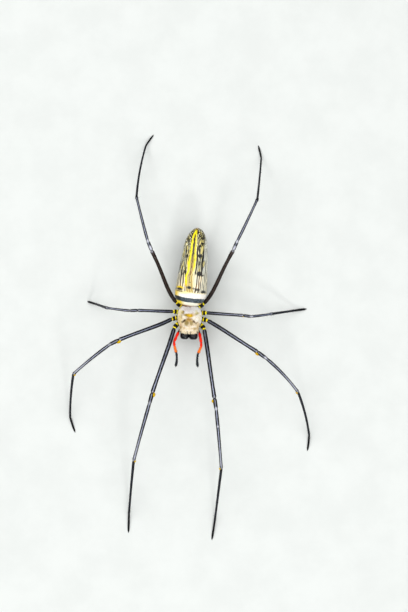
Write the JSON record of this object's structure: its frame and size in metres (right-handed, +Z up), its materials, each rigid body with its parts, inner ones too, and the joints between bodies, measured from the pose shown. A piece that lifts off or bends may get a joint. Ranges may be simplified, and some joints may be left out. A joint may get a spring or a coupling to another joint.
{
  "type": "golden silk orb weaver spider",
  "caption": "Life-size female golden orb-web spider standing with long black legs spread, golden carapace and long yellow-striped abdomen.",
  "frame": {"origin": "on the floor, under the middle of the box that holds the whole spider", "axes": "+Z up, through her back; -Y the way her head faces, so +Y runs back along the abdomen; +X her left side. In the picture she hangs head down and is seen from above her back, so the picture's right is +X and its top is +Y."},
  "size_m": [0.102, 0.172, 0.0211],
  "materials": {
    "golden_fuzz": "horny shield under a coat of short, flat, pale golden and silvery hairs",
    "belly_horn": "dark brown horn with a satin shine and sparse fine hairs",
    "black_horn": "polished black horn",
    "leg_black": "blue-black horn with a satin shine, yellow rings at the hips and yellow skin at the joints",
    "palp_red": "bright red to orange horn with a satin shine",
    "striped_hide": "fine-haired dark olive hide with two yellow stripes, pale streaks and a cream band in front",
    "eye_glass": "black, clear and glossy"
  },
  "bodies": {
    "root": {"carapace": "golden_fuzz", "sternum": "belly_horn", "mouthparts": "belly_horn", "chelicera_left": "black_horn", "chelicera_right": "black_horn", "fang_left": "black_horn", "fang_right": "black_horn", "pedicel": "belly_horn", "abdomen": "striped_hide", "spinnerets": "belly_horn", "palp_left_arm": "palp_red", "palp_left_tarsus": "leg_black", "palp_right_arm": "palp_red", "palp_right_tarsus": "leg_black", "eye_front_middle_left": "eye_glass", "eye_front_middle_right": "eye_glass", "eye_rear_middle_left": "eye_glass", "eye_rear_middle_right": "eye_glass", "eye_front_side_left": "eye_glass", "eye_front_side_right": "eye_glass", "eye_rear_side_left": "eye_glass", "eye_rear_side_right": "eye_glass", "leg_left_1_coxa": "leg_black", "leg_left_1_femur": "leg_black", "leg_left_1_tibia": "leg_black", "leg_left_1_foot": "leg_black", "leg_left_2_coxa": "leg_black", "leg_left_2_femur": "leg_black", "leg_left_2_tibia": "leg_black", "leg_left_2_foot": "leg_black", "leg_left_3_coxa": "leg_black", "leg_left_3_femur": "leg_black", "leg_left_3_tibia": "leg_black", "leg_left_3_foot": "leg_black", "leg_left_4_coxa": "leg_black", "leg_left_4_femur": "leg_black", "leg_left_4_tibia": "leg_black", "leg_left_4_foot": "leg_black", "leg_right_1_coxa": "leg_black", "leg_right_1_femur": "leg_black", "leg_right_1_tibia": "leg_black", "leg_right_1_foot": "leg_black", "leg_right_2_coxa": "leg_black", "leg_right_2_femur": "leg_black", "leg_right_2_tibia": "leg_black", "leg_right_2_foot": "leg_black", "leg_right_3_coxa": "leg_black", "leg_right_3_femur": "leg_black", "leg_right_3_tibia": "leg_black", "leg_right_3_foot": "leg_black", "leg_right_4_coxa": "leg_black", "leg_right_4_femur": "leg_black", "leg_right_4_tibia": "leg_black", "leg_right_4_foot": "leg_black"}
  },
  "joints": []
}
